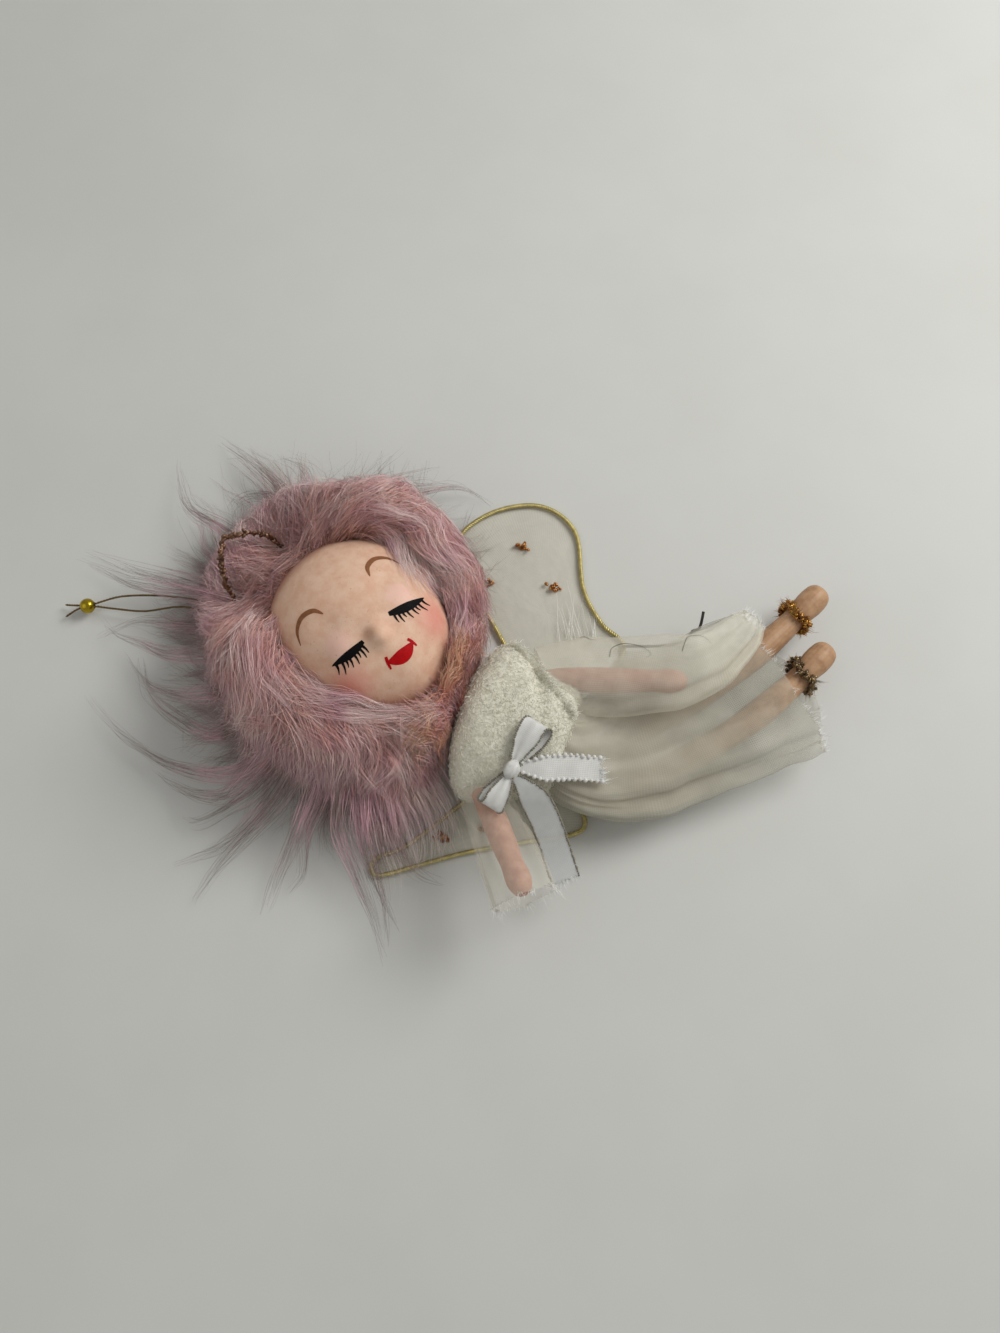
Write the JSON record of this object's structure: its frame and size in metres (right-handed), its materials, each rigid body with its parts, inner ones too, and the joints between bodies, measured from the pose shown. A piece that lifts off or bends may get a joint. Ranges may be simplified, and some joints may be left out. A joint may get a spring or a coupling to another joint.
{
  "type": "pixie angel ornament",
  "caption": "Small pixie angel doll ornament lying on its back, with a moulded head, long soft hair, organza dress and wings, jointed limbs and a thread hanging loop.",
  "frame": {"origin": "middle of the back on the surface that the doll lies on", "axes": "+X from the crown to the toes, +Y to the doll's left, +Z from its back to its front"},
  "size_m": [0.1591, 0.1086, 0.0318],
  "materials": {
    "skin": "matte painted composition",
    "limb": "matte painted composition",
    "hair": "long soft pile",
    "plush": "white plush",
    "cloth": "stuffed cotton",
    "organza": "sheer organza",
    "lining": "cream lining",
    "ribbon": "satin ribbon with picot edges",
    "gold_cord": "metallic gold cord",
    "thread": "metallic thread",
    "copper_bead": "copper glass beads",
    "gold_bead": "gold plated bead",
    "wire": "plain wire",
    "dark_wire": "dark annealed wire",
    "dowel": "turned wood"
  },
  "bodies": {
    "torso": {"torso": "cloth", "bodice": "plush", "neck": "cloth", "neck_peg": "dowel", "skirt": "organza", "underskirt": "lining", "wing_gauze": "organza", "wing_wire_left": "gold_cord", "wing_wire_right": "gold_cord", "wing_dots": "copper_bead", "tie_wire": "dark_wire", "bow_loops": "ribbon", "bow_knot": "ribbon", "bow_tails": "ribbon", "shoulder_staple_left": "wire", "shoulder_staple_right": "wire", "hip_staple_left": "wire", "hip_staple_right": "wire"},
    "head": {"head": "skin", "hair": "hair", "hair_wisps": "hair", "tiara_wire": "dark_wire", "tiara_beads": "copper_bead", "hang_strand_a": "thread", "hang_strand_b": "thread", "hang_bead": "gold_bead"},
    "arm_left": {"arm_left": "limb", "sleeve_left": "organza"},
    "arm_right": {"arm_right": "limb", "sleeve_right": "organza"},
    "leg_left": {"leg_left": "limb", "anklet_left": "copper_bead"},
    "leg_right": {"leg_right": "limb", "anklet_right": "copper_bead"}
  },
  "joints": [
    {"name": "head_swivel", "type": "hinge", "parent": "torso", "child": "head", "pos_m": [-0.022, -0.001, 0.013], "axis": [1, 0, 0], "range_deg": [-20, 20]},
    {"name": "arm_left_swing", "type": "hinge", "parent": "torso", "child": "arm_left", "pos_m": [-0.004, 0.0076, 0.014], "axis": [0, 0, 1], "range_deg": [0, 60]},
    {"name": "arm_right_swing", "type": "hinge", "parent": "torso", "child": "arm_right", "pos_m": [-0.01, -0.0122, 0.011], "axis": [0, 0, 1], "range_deg": [-30, 5]},
    {"name": "leg_left_swing", "type": "hinge", "parent": "torso", "child": "leg_left", "pos_m": [0.0183, 0.0046, 0.0075], "axis": [0, 0, 1], "range_deg": [-55, 10], "deforming": ["skirt", "underskirt"]},
    {"name": "leg_right_swing", "type": "hinge", "parent": "torso", "child": "leg_right", "pos_m": [0.02, -0.0055, 0.0075], "axis": [0, 0, 1], "range_deg": [-55, 10]}
  ],
  "couplings": [
    {"joint": "leg_right_swing", "follows": "leg_left_swing", "ratio": 1}
  ]
}
